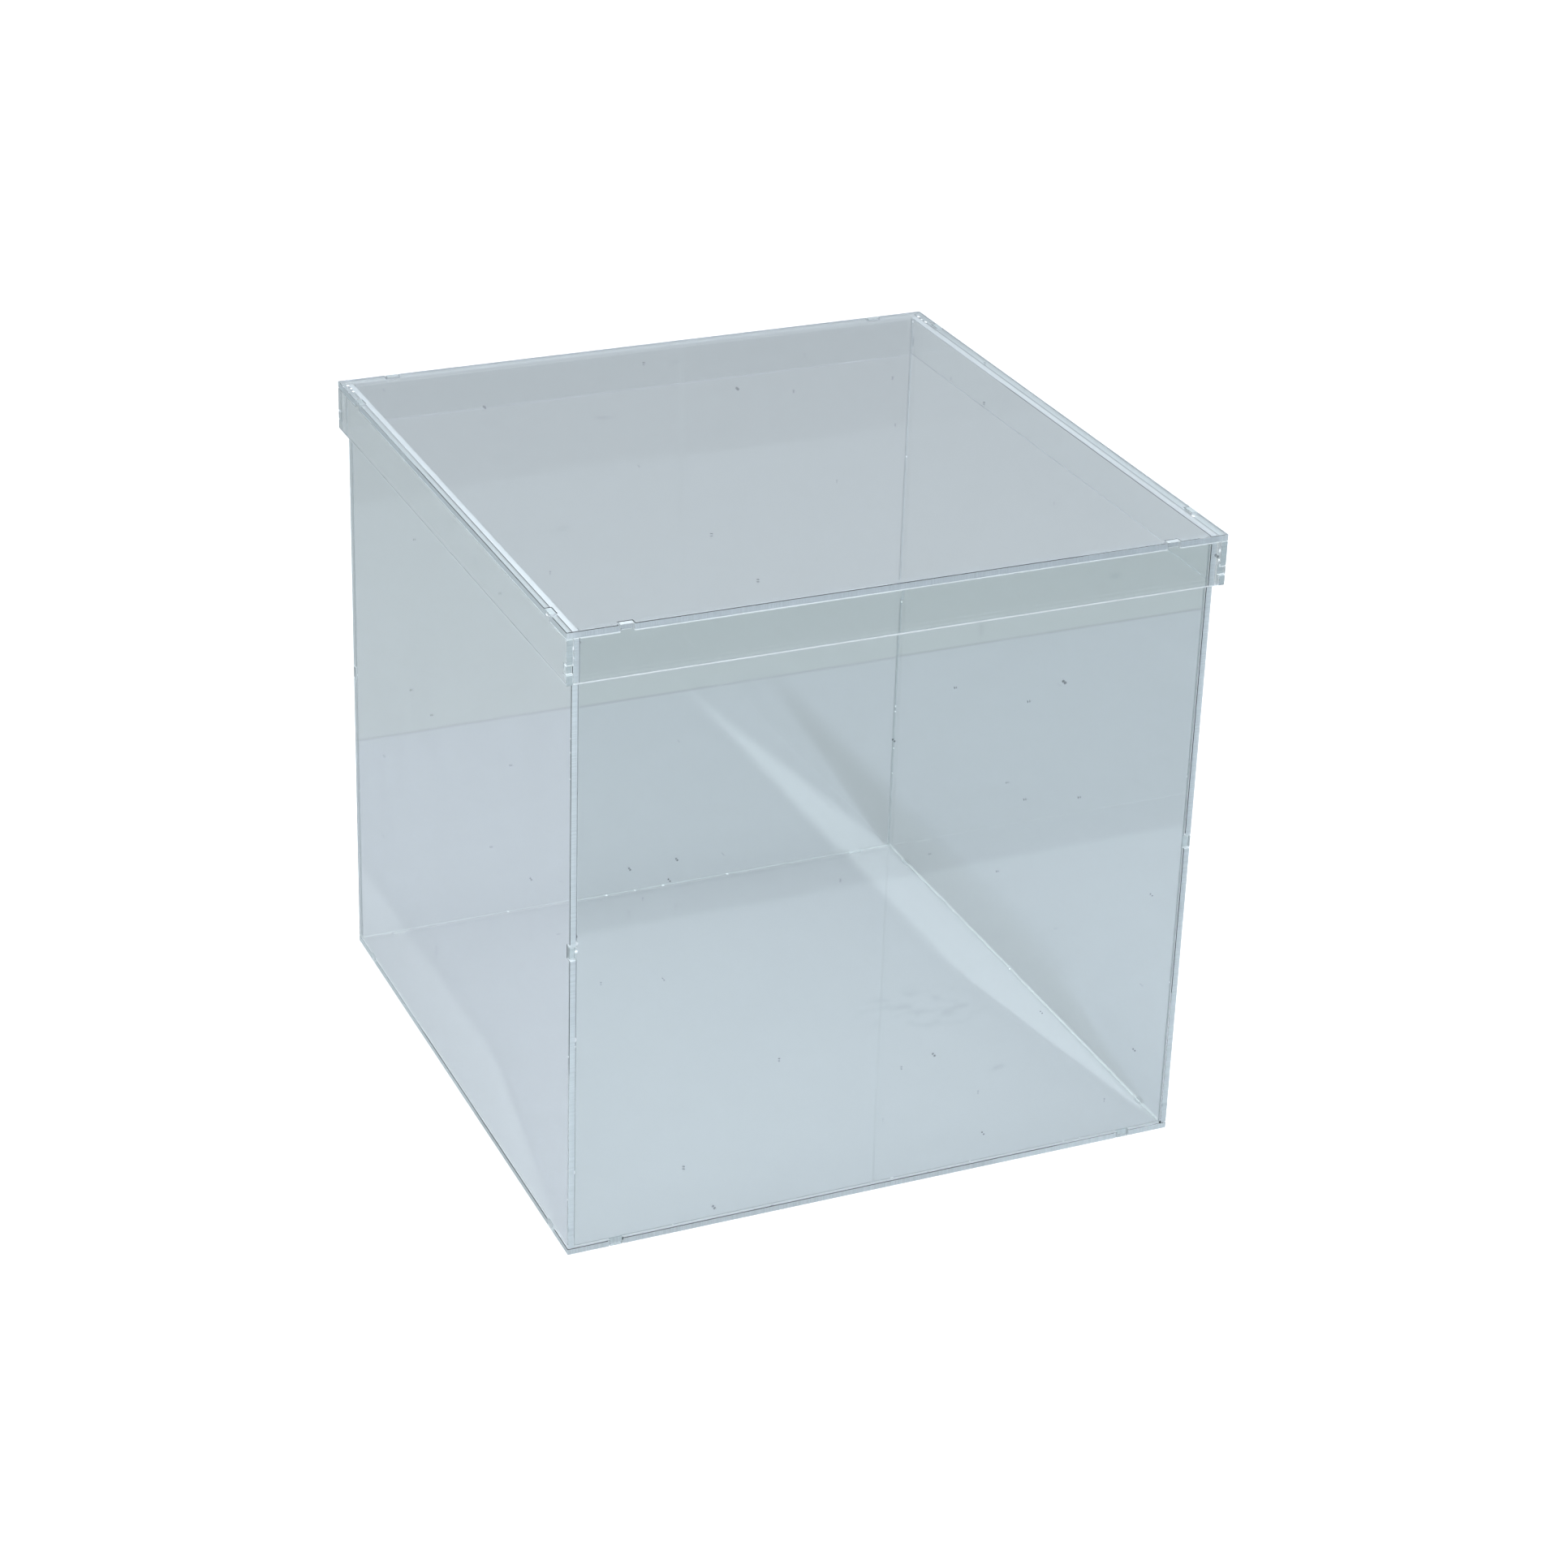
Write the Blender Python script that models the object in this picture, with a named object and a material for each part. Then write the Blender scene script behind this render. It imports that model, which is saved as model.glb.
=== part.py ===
"""Clear acrylic display cube: five cemented sheets make the case, five more make its lift-off lid.

Metres, +Z up, +X to the right and +Y to the back. The origin is the middle of the footprint, on
the surface that the case stands on. The side walls stand on the base and run its full depth, and
the front and back walls are held between them. The lid is built the same way upside down, and its
skirts hang outside the walls. Small tabs on each sheet's edge lock into notches in the next one.
"""

import bmesh
import bpy

# Overall sizes
CASE_WIDTH = 0.300  # over the two side walls
CASE_DEPTH = 0.303  # over the front and back walls
CASE_HEIGHT = 0.300  # from the underside of the base to the top of the walls
LID_HEIGHT = 0.024  # from the lid's top face down to the rim of its skirts

# Sheet and fits
SHEET = 0.003  # thickness of every sheet
LID_CLEARANCE = 0.0007  # between a wall's outer face and the skirt that slides over it
SEAM = 0.0003  # left between two sheets that are cemented, and between lid and walls
ARRIS = 0.0002  # width of the softened corner along each cut edge

# Tabs
TAB_LENGTH = 0.006  # of the tabs that lock a wall or a skirt
TAB_INSET = 0.023  # from the case's outer face to the middle of a tab
TAB_STAGGER = 0.0036  # how far both tabs of a side skirt sit towards its leading end
CORNER_TAB_LENGTH = 0.004  # of the tabs that lock the skirts to each other
CORNER_TAB_RISE = 0.007  # from the lid's rim to the middle of a corner tab

# Levels that follow from the sizes
WALL_FOOT = SHEET + SEAM
WALL_MIDDLE = (WALL_FOOT + CASE_HEIGHT) / 2
LID_UNDERSIDE = CASE_HEIGHT + SEAM
LID_TOP = LID_UNDERSIDE + SHEET
LID_RIM = LID_TOP - LID_HEIGHT
SKIRT_HEAD = LID_UNDERSIDE - SEAM

# Half sizes, from the middle to an outer face
CASE_X = CASE_WIDTH / 2
CASE_Y = CASE_DEPTH / 2
LID_X = CASE_X + LID_CLEARANCE + SHEET
LID_Y = CASE_Y + LID_CLEARANCE + SHEET

# A sheet's normal, and the two axes its outline is drawn on
ACROSS = {"X": (0, 1, 2), "Y": (1, 0, 2), "Z": (2, 0, 1)}

SHARP_ANGLE = 0.5  # radians; an edge turning more than this is softened
ROUGHNESS = 0.05
CASE_COLOUR = (0.72, 0.78, 0.82, 1.0)
LID_COLOUR = (0.68, 0.74, 0.78, 1.0)


def clear_scene():
    for obj in list(bpy.data.objects):
        bpy.data.objects.remove(obj)


def acrylic(name, colour):
    """A polished clear acrylic with the faint grey-blue of its sheet."""
    made = bpy.data.materials.new(name + "_acrylic")
    made.use_nodes = True
    shader = made.node_tree.nodes["Principled BSDF"]
    shader.inputs["Base Color"].default_value = colour
    shader.inputs["Roughness"].default_value = ROUGHNESS
    shader.inputs["Metallic"].default_value = 0.0
    return made


def tab(middle, length=TAB_LENGTH):
    """A step out of an edge, over the seam and through the next sheet to its outer face."""
    return (middle, length, SEAM + SHEET)


def notch(middle, length=TAB_LENGTH):
    """The step into an edge that takes a tab, with the seam left all round it."""
    return (middle, length + 2 * SEAM, -(SHEET + SEAM))


def edge(start, end, level, outward, joints):
    """Corners of one edge from start to end, stepping out at tabs and in at notches."""
    forward = 1 if end > start else -1
    corners = [(start, level)]
    for middle, length, depth in sorted(joints, reverse=forward < 0):
        stepped = level + outward * depth
        near = middle - forward * length / 2
        far = middle + forward * length / 2
        corners += [(near, level), (near, stepped), (far, stepped), (far, level)]
    return corners


def outline(half_width, bottom, top, feet=(), heads=(), left=(), right=()):
    """Corners of a sheet, in order, with the joints that each of its four edges carries."""
    corners = edge(-half_width, half_width, bottom, -1, feet)
    corners += [(u, v) for v, u in edge(bottom, top, half_width, 1, right)]
    corners += edge(half_width, -half_width, top, 1, heads)
    corners += [(u, v) for v, u in edge(top, bottom, -half_width, -1, left)]
    return corners


def sheet(name, normal, level, corners, parent, colour):
    """One flat sheet, cut to its corners, with its middle plane at level along its normal."""
    across, first, second = ACROSS[normal]
    mesh = bpy.data.meshes.new(name)
    bm = bmesh.new()
    verts = []
    for u, v in corners:
        place = [0.0, 0.0, 0.0]
        place[across] = -SHEET / 2
        place[first] = u
        place[second] = v
        verts.append(bm.verts.new(place))
    face = bm.faces.new(verts)
    lifted = bmesh.ops.extrude_face_region(bm, geom=[face])
    step = [0.0, 0.0, 0.0]
    step[across] = SHEET
    moved = [item for item in lifted["geom"] if isinstance(item, bmesh.types.BMVert)]
    bmesh.ops.translate(bm, verts=moved, vec=step)
    bmesh.ops.recalc_face_normals(bm, faces=bm.faces)
    bm.to_mesh(mesh)
    bm.free()
    obj = bpy.data.objects.new(name, mesh)
    bpy.context.scene.collection.objects.link(obj)
    obj.data.materials.append(acrylic(name, colour))
    obj.parent = parent
    obj.location[across] = level
    soften = obj.modifiers.new("arris", "BEVEL")
    soften.width = ARRIS
    soften.segments = 1
    soften.limit_method = "ANGLE"
    soften.angle_limit = SHARP_ANGLE
    return obj


def hub(name):
    """An empty at the origin, on the line that the lid lifts along."""
    empty = bpy.data.objects.new(name, None)
    bpy.context.scene.collection.objects.link(empty)
    return empty


def pair(reach, joint):
    """The same joint at both ends of an edge, reach from its middle."""
    return [joint(-reach), joint(reach)]


def case_base(case):
    across_x = pair(CASE_X - TAB_INSET, notch)
    across_y = pair(CASE_Y - TAB_INSET, notch)
    corners = outline(CASE_X, -CASE_Y, CASE_Y, across_x, across_x, across_y, across_y)
    sheet("base_panel", "Z", SHEET / 2, corners, case, CASE_COLOUR)


def case_walls(case):
    """Front and back walls stand between the side walls and lock into them half-way up."""
    feet = pair(CASE_X - TAB_INSET, tab)
    sides = [tab(WALL_MIDDLE)]
    held = CASE_X - SHEET - SEAM
    corners = wall_outline(held, feet, sides, sides)
    sheet("front_wall", "Y", SHEET / 2 - CASE_Y, corners, case, CASE_COLOUR)
    sheet("back_wall", "Y", CASE_Y - SHEET / 2, corners, case, CASE_COLOUR)

    feet = pair(CASE_Y - TAB_INSET, tab)
    sides = [notch(WALL_MIDDLE)]
    corners = wall_outline(CASE_Y, feet, sides, sides)
    sheet("left_wall", "X", SHEET / 2 - CASE_X, corners, case, CASE_COLOUR)
    sheet("right_wall", "X", CASE_X - SHEET / 2, corners, case, CASE_COLOUR)


def wall_outline(half_width, feet, left, right):
    return outline(half_width, WALL_FOOT, CASE_HEIGHT, feet=feet, left=left, right=right)


def lid_top(lid):
    across_x = pair(CASE_X - TAB_INSET, notch)
    left = [notch(place) for place in side_tab_places(-1)]
    right = [notch(place) for place in side_tab_places(1)]
    corners = outline(LID_X, -LID_Y, LID_Y, across_x, across_x, left, right)
    sheet("lid_panel", "Z", LID_UNDERSIDE + SHEET / 2, corners, lid, LID_COLOUR)


def side_tab_places(side):
    """Both side skirts are one shape, turned half round, so their tabs lead opposite ways."""
    reach = CASE_Y - TAB_INSET
    shift = side * TAB_STAGGER
    return [shift - reach, shift + reach]


def lid_skirts(lid):
    """Front and back skirts hang between the side skirts and lock into them near the rim."""
    corner = LID_RIM + CORNER_TAB_RISE
    heads = pair(CASE_X - TAB_INSET, tab)
    ends = [tab(corner, CORNER_TAB_LENGTH)]
    corners = skirt_outline(LID_X - SHEET - SEAM, heads, ends)
    sheet("front_skirt", "Y", SHEET / 2 - LID_Y, corners, lid, LID_COLOUR)
    sheet("back_skirt", "Y", LID_Y - SHEET / 2, corners, lid, LID_COLOUR)

    ends = [notch(corner, CORNER_TAB_LENGTH)]
    for name, side in (("left_skirt", -1), ("right_skirt", 1)):
        heads = [tab(place) for place in side_tab_places(side)]
        corners = skirt_outline(LID_Y, heads, ends)
        sheet(name, "X", side * (LID_X - SHEET / 2), corners, lid, LID_COLOUR)


def skirt_outline(half_width, heads, ends):
    return outline(half_width, LID_RIM, SKIRT_HEAD, heads=heads, left=ends, right=ends)


def build():
    clear_scene()
    case = hub("case")
    case_base(case)
    case_walls(case)
    lid = hub("lid")
    lid_top(lid)
    lid_skirts(lid)


build()
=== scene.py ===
"""Clear acrylic display cube: five cemented sheets with a lift-off lid, on a pale studio floor."""

import math

import bpy
from mathutils import Euler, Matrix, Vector


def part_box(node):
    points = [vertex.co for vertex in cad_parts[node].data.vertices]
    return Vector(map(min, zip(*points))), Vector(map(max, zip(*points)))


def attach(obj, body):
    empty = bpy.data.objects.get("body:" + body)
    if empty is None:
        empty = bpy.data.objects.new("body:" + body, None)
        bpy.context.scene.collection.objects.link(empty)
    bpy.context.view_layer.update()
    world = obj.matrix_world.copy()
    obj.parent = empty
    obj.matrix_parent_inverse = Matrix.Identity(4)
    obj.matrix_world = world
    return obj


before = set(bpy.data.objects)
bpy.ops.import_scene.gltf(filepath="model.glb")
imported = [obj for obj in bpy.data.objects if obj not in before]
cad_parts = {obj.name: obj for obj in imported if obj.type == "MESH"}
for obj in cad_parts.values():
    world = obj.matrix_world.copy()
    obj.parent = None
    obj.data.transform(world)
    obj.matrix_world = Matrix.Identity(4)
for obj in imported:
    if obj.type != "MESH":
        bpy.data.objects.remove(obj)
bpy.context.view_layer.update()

# Axes that the sheets lie across, and the turns that lay each sheet flat for its surface marks
ACROSS_X = (1.0, 0.0, 0.0)
ACROSS_Y = (0.0, 1.0, 0.0)
ACROSS_Z = (0.0, 0.0, 1.0)
LAY_FLAT = {ACROSS_X: (0.0, math.pi / 2, 0.0), ACROSS_Y: (math.pi / 2, 0.0, 0.0), ACROSS_Z: (0.0, 0.0, 0.0)}

# Acrylic: how much lamp light passes straight through, and how the cut edges scatter
ACRYLIC_IOR = 1.49
LAMP_PASS = 0.995
GRAZING_POWER = 8.0
CUT_SCATTER = 0.75
CUT_ROUGHNESS = 0.45
# Cut-edge colours: the edges' own frosted pallor, set lighter or darker for each sheet as painted light and
# shade for how the lamps fall on that edge
CUT_EDGE_PAINTED_LIGHT = (0.42, 0.48, 0.49, 1.0)
SIDE_SKIRT_EDGE_PAINTED_LIGHT = (0.36, 0.42, 0.43, 1.0)
RIM_EDGE_PAINTED_LIGHT = (0.56, 0.62, 0.63, 1.0)
SIDE_WALL_EDGE_PAINTED_LIGHT = (0.57, 0.64, 0.66, 1.0)
TOP_EDGE_PAINTED_LIGHT = (0.49, 0.55, 0.57, 1.0)
FOOT_EDGE_PAINTED_LIGHT = (0.74, 0.82, 0.83, 1.0)
CUT_FACING = 0.5
SPECK_SHADE = (0.10, 0.11, 0.12, 1.0)

# Tints of the sheets, as seen square on through both faces
CASE_TINT = (0.975, 0.988, 0.988, 1.0)
FRONT_TINT = (0.945, 0.982, 0.972, 1.0)
LID_TINT = (0.992, 0.997, 0.995, 1.0)
EDGE_TINT = (0.80, 0.88, 0.87, 1.0)
RUB_SHADE = (0.62, 0.66, 0.68, 1.0)


# ---------------------------------------------------------------- node helpers

def group_tree(name, inputs, outputs):
    """A shader node group with its named sockets, and its two end nodes."""
    tree = bpy.data.node_groups.new(name, "ShaderNodeTree")
    for label, kind, value in inputs:
        socket = tree.interface.new_socket(name=label, in_out="INPUT", socket_type=kind)
        socket.default_value = value
    for label, kind in outputs:
        tree.interface.new_socket(name=label, in_out="OUTPUT", socket_type=kind)
    return tree, tree.nodes.new("NodeGroupInput"), tree.nodes.new("NodeGroupOutput")


def maths(tree, operation, first, second=None, clamp=False):
    """One Math node; first and second are sockets or plain numbers."""
    node = tree.nodes.new("ShaderNodeMath")
    node.operation = operation
    node.use_clamp = clamp
    for slot, value in zip(node.inputs, (first, second)):
        if value is None:
            continue
        if isinstance(value, (int, float)):
            slot.default_value = value
        else:
            tree.links.new(value, slot)
    return node.outputs[0]


def vectors(tree, operation, first, second=None):
    """One Vector Math node; first and second are sockets or plain vectors."""
    node = tree.nodes.new("ShaderNodeVectorMath")
    node.operation = operation
    for slot, value in zip(node.inputs, (first, second)):
        if value is None:
            continue
        if isinstance(value, tuple):
            slot.default_value = value
        else:
            tree.links.new(value, slot)
    return node


def ranged(tree, value, low, high, out_low=0.0, out_high=1.0):
    """A smooth Map Range from low..high to out_low..out_high."""
    node = tree.nodes.new("ShaderNodeMapRange")
    node.interpolation_type = "SMOOTHSTEP"
    for slot, number in zip(node.inputs[1:5], (low, high, out_low, out_high)):
        if isinstance(number, (int, float)):
            slot.default_value = number
        else:
            tree.links.new(number, slot)
    tree.links.new(value, node.inputs[0])
    return node.outputs[0]


def mixed(tree, share, first, second, blend="MIX"):
    """A colour Mix node."""
    node = tree.nodes.new("ShaderNodeMix")
    node.data_type = "RGBA"
    node.blend_type = blend
    for slot, value in ((node.inputs[0], share), (node.inputs[6], first), (node.inputs[7], second)):
        if isinstance(value, (int, float, tuple)):
            slot.default_value = value
        else:
            tree.links.new(value, slot)
    return node.outputs[2]


def noise(tree, where, scale, detail=2.0, roughness=0.5):
    """A Noise Texture read at a vector socket."""
    node = tree.nodes.new("ShaderNodeTexNoise")
    node.inputs["Detail"].default_value = detail
    node.inputs["Roughness"].default_value = roughness
    if isinstance(scale, (int, float)):
        node.inputs["Scale"].default_value = scale
    else:
        tree.links.new(scale, node.inputs["Scale"])
    tree.links.new(where, node.inputs["Vector"])
    return node


# ---------------------------------------------------------------- shared effects

# How far a face may lean from its sheet's flat side: below the first it is cut edge, above the second face
EDGE_LEAN = 0.35
FACE_LEAN = 0.60

# Dust: the smallest speck's share of the given size
SMALLEST_SPECK = 0.35

# Hairlines: the two ways they run, how drawn out they are, how thin, and where the sheet is worn
HAIR_WAYS = ((0.47, (1.0, 42.0, 1.0)), (-1.23, (1.0, 38.0, 1.0)))
HAIR_WIDTH = 0.006
WORN_PATCH_SCALE = 9.0
WORN_FROM = 0.52
WORN_TO = 0.68

# Rub mark: its own outline and streaks
RUB_TURN = 0.65
RUB_STRETCH = (0.6, 1.0, 0.0)
RUB_FADE_FROM = 0.45
STREAK_TURN = 0.5
STREAK_STRETCH = (1.0, 2.6, 0.0)
STREAK_SCALE = 70.0
STREAK_FROM = 0.50
STREAK_TO = 0.60

# Haze: the level of noise from which a smear shows, and at which it is full
SMEAR_FROM = 0.50
SMEAR_TO = 0.72

def sheet_edge_group():
    """Tells a sheet's cut edge from its polished faces, with a soft change over the broken arris."""
    tree, given, out = group_tree(
        "Sheet Edge",
        [("Across", "NodeSocketVector", ACROSS_Z)],
        [("Edge", "NodeSocketFloat")],
    )
    shape = tree.nodes.new("ShaderNodeNewGeometry")
    lean = vectors(tree, "DOT_PRODUCT", shape.outputs["True Normal"], given.outputs["Across"])
    lean = maths(tree, "ABSOLUTE", lean.outputs["Value"])
    tree.links.new(ranged(tree, lean, EDGE_LEAN, FACE_LEAN, 1.0, 0.0), out.inputs["Edge"])
    return tree


def sheet_plane_group():
    """A sheet's own flat coordinates, shifted so that no two sheets carry the same marks."""
    tree, given, out = group_tree(
        "Sheet Plane",
        [("Turn", "NodeSocketVector", (0.0, 0.0, 0.0)), ("Shift", "NodeSocketVector", (0.0, 0.0, 0.0))],
        [("Plane", "NodeSocketVector")],
    )
    place = tree.nodes.new("ShaderNodeTexCoord")
    lay = tree.nodes.new("ShaderNodeMapping")
    tree.links.new(place.outputs["Object"], lay.inputs["Vector"])
    tree.links.new(given.outputs["Turn"], lay.inputs["Rotation"])
    tree.links.new(given.outputs["Shift"], lay.inputs["Location"])
    tree.links.new(lay.outputs["Vector"], out.inputs["Plane"])
    return tree


def dust_group():
    """Single specks of dust, each cell with its own size, and most cells empty."""
    tree, given, out = group_tree(
        "Dust Specks",
        [("Plane", "NodeSocketVector", (0.0, 0.0, 0.0)), ("Cells", "NodeSocketFloat", 38.0),
         ("Share", "NodeSocketFloat", 0.1), ("Size", "NodeSocketFloat", 0.02)],
        [("Specks", "NodeSocketFloat")],
    )
    cells = tree.nodes.new("ShaderNodeTexVoronoi")
    cells.voronoi_dimensions = "2D"
    cells.feature = "F1"
    tree.links.new(given.outputs["Plane"], cells.inputs["Vector"])
    tree.links.new(given.outputs["Cells"], cells.inputs["Scale"])
    parts = tree.nodes.new("ShaderNodeSeparateColor")
    tree.links.new(cells.outputs["Color"], parts.inputs["Color"])
    share_of_size = maths(tree, "ADD", parts.outputs["Green"], SMALLEST_SPECK)
    radius = maths(tree, "MULTIPLY", given.outputs["Size"], share_of_size)
    inside = maths(tree, "LESS_THAN", cells.outputs["Distance"], radius)
    chosen = maths(tree, "LESS_THAN", parts.outputs["Red"], given.outputs["Share"])
    tree.links.new(maths(tree, "MULTIPLY", inside, chosen), out.inputs["Specks"])
    return tree


def scratch_group():
    """Hairline scratches in two crossing directions, broken up along their length."""
    tree, given, out = group_tree(
        "Hairline Scratches",
        [("Plane", "NodeSocketVector", (0.0, 0.0, 0.0)), ("Scale", "NodeSocketFloat", 14.0),
         ("Amount", "NodeSocketFloat", 0.5)],
        [("Scratches", "NodeSocketFloat")],
    )
    found = []
    for turn, stretch in HAIR_WAYS:
        lay = tree.nodes.new("ShaderNodeMapping")
        lay.inputs["Rotation"].default_value = (0.0, 0.0, turn)
        lay.inputs["Scale"].default_value = stretch
        tree.links.new(given.outputs["Plane"], lay.inputs["Vector"])
        line = noise(tree, lay.outputs["Vector"], given.outputs["Scale"], 0.0)
        thin = maths(tree, "ABSOLUTE", maths(tree, "SUBTRACT", line.outputs["Fac"], 0.5))
        found.append(ranged(tree, thin, 0.0, HAIR_WIDTH, 1.0, 0.0))
    both = maths(tree, "MAXIMUM", found[0], found[1])
    patches = noise(tree, given.outputs["Plane"], WORN_PATCH_SCALE, 3.0)
    worn = ranged(tree, patches.outputs["Fac"], WORN_FROM, WORN_TO)
    both = maths(tree, "MULTIPLY", both, worn)
    tree.links.new(maths(tree, "MULTIPLY", both, given.outputs["Amount"], True), out.inputs["Scratches"])
    return tree


def rub_mark_group():
    """A small rubbed patch with ragged streaks, where something has slid on the sheet."""
    tree, given, out = group_tree(
        "Rub Mark",
        [("Plane", "NodeSocketVector", (0.0, 0.0, 0.0)), ("Middle", "NodeSocketVector", (0.0, 0.0, 0.0)),
         ("Reach", "NodeSocketFloat", 0.03)],
        [("Rubbed", "NodeSocketFloat")],
    )
    away = vectors(tree, "SUBTRACT", given.outputs["Plane"], given.outputs["Middle"])
    lay = tree.nodes.new("ShaderNodeMapping")
    lay.inputs["Rotation"].default_value = (0.0, 0.0, RUB_TURN)
    lay.inputs["Scale"].default_value = RUB_STRETCH
    tree.links.new(away.outputs["Vector"], lay.inputs["Vector"])
    distance = vectors(tree, "LENGTH", lay.outputs["Vector"]).outputs["Value"]
    reached = maths(tree, "DIVIDE", distance, given.outputs["Reach"])
    near = ranged(tree, reached, RUB_FADE_FROM, 1.0, 1.0, 0.0)
    streaks = tree.nodes.new("ShaderNodeMapping")
    streaks.inputs["Rotation"].default_value = (0.0, 0.0, STREAK_TURN)
    streaks.inputs["Scale"].default_value = STREAK_STRETCH
    tree.links.new(away.outputs["Vector"], streaks.inputs["Vector"])
    ragged = noise(tree, streaks.outputs["Vector"], STREAK_SCALE, 3.0)
    torn = ranged(tree, ragged.outputs["Fac"], STREAK_FROM, STREAK_TO)
    tree.links.new(maths(tree, "MULTIPLY", near, torn), out.inputs["Rubbed"])
    return tree


def cut_line_group():
    """The fine lines that a cutting beam leaves through a sheet's thickness."""
    tree, given, out = group_tree(
        "Cut Lines",
        [("Across", "NodeSocketVector", ACROSS_Z), ("Scale", "NodeSocketFloat", 2600.0)],
        [("Lines", "NodeSocketFloat")],
    )
    place = tree.nodes.new("ShaderNodeTexCoord")
    level = vectors(tree, "DOT_PRODUCT", place.outputs["Object"], given.outputs["Across"])
    stack = tree.nodes.new("ShaderNodeVectorMath")
    stack.operation = "SCALE"
    tree.links.new(given.outputs["Across"], stack.inputs[0])
    tree.links.new(level.outputs["Value"], stack.inputs["Scale"])
    along = vectors(tree, "SUBTRACT", place.outputs["Object"], stack.outputs["Vector"])
    lines = noise(tree, along.outputs["Vector"], given.outputs["Scale"], 2.0)
    tree.links.new(lines.outputs["Fac"], out.inputs["Lines"])
    return tree


def haze_group():
    """Soft smears left by handling, and the slow ripple of cast sheet."""
    tree, given, out = group_tree(
        "Handling Haze",
        [("Smear Scale", "NodeSocketFloat", 7.0), ("Ripple Scale", "NodeSocketFloat", 11.0)],
        [("Smears", "NodeSocketFloat"), ("Ripple", "NodeSocketFloat")],
    )
    place = tree.nodes.new("ShaderNodeTexCoord")
    smear = noise(tree, place.outputs["Object"], given.outputs["Smear Scale"], 4.0, 0.6)
    tree.links.new(ranged(tree, smear.outputs["Fac"], SMEAR_FROM, SMEAR_TO), out.inputs["Smears"])
    ripple = noise(tree, place.outputs["Object"], given.outputs["Ripple Scale"], 1.0)
    tree.links.new(ripple.outputs["Fac"], out.inputs["Ripple"])
    return tree


SHEET_EDGE = sheet_edge_group()
SHEET_PLANE = sheet_plane_group()
RUB_MARK = rub_mark_group()
DUST_SPECKS = dust_group()
HAIRLINE_SCRATCHES = scratch_group()
CUT_LINES = cut_line_group()
HANDLING_HAZE = haze_group()


def placed(tree, group, **values):
    """Places a group in a material with its own values; a name's underscores stand for spaces."""
    node = tree.nodes.new("ShaderNodeGroup")
    node.node_tree = group
    for label, value in values.items():
        node.inputs[label.replace("_", " ")].default_value = value
    return node


def lamp_pass_colour(tree):
    """What straight lamp light keeps at one face: almost all square on, little at a grazing slant."""
    slant = tree.nodes.new("ShaderNodeLayerWeight")
    grazing = maths(tree, "POWER", slant.outputs["Facing"], GRAZING_POWER)
    kept = maths(tree, "SUBTRACT", 1.0, grazing, True)
    return mixed(tree, kept, (0.0, 0.0, 0.0, 1.0), (LAMP_PASS, LAMP_PASS, LAMP_PASS, 1.0))


def let_lamps_through(tree, seen):
    """Mixes a seen shader with a clear one that lets light from the lamps and the floor straight through."""
    clear = tree.nodes.new("ShaderNodeBsdfTransparent")
    tree.links.new(lamp_pass_colour(tree), clear.inputs["Color"])
    rays = tree.nodes.new("ShaderNodeLightPath")
    either = tree.nodes.new("ShaderNodeMixShader")
    out = tree.nodes.new("ShaderNodeOutputMaterial")
    straight = maths(tree, "MAXIMUM", rays.outputs["Is Shadow Ray"], rays.outputs["Is Diffuse Ray"])
    tree.links.new(straight, either.inputs[0])
    tree.links.new(seen, either.inputs[1])
    tree.links.new(clear.outputs["BSDF"], either.inputs[2])
    tree.links.new(either.outputs["Shader"], out.inputs["Surface"])


def cut_face_mask(tree, across):
    """One on the cut edges, nought on the polished faces."""
    surface = tree.nodes.new("ShaderNodeNewGeometry")
    facing = vectors(tree, "DOT_PRODUCT", surface.outputs["True Normal"], across).outputs["Value"]
    return maths(tree, "LESS_THAN", maths(tree, "ABSOLUTE", facing), CUT_FACING)


# Marks on a sheet: dust cells a metre, the share of them with a speck, and the largest speck
DUST = {"Cells": 38.0, "Share": 0.10, "Size": 0.020}
HAIRS = {"Scale": 14.0, "Amount": 0.35}
CUTS = {"Scale": 1900.0}
HAZE = {"Smear_Scale": 7.0, "Ripple_Scale": 11.0}
CUT_LINE_SHADE = 0.86
SPECK_STRENGTH = 0.85
RUB_STRENGTH = 0.22

# What each effect adds to the roughness
SMEAR_ROUGH = 0.012
EDGE_ROUGH = 0.09
HAIR_ROUGH = 0.25
RUB_ROUGH = 0.07

# What each effect adds to the height, and how the height is read
RIPPLE_HEIGHT = 0.6
HAIR_DEPTH = 0.03
CUT_LINE_HEIGHT = 0.05
BUMP_STRENGTH = 0.6
BUMP_DISTANCE = 0.0003


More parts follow.
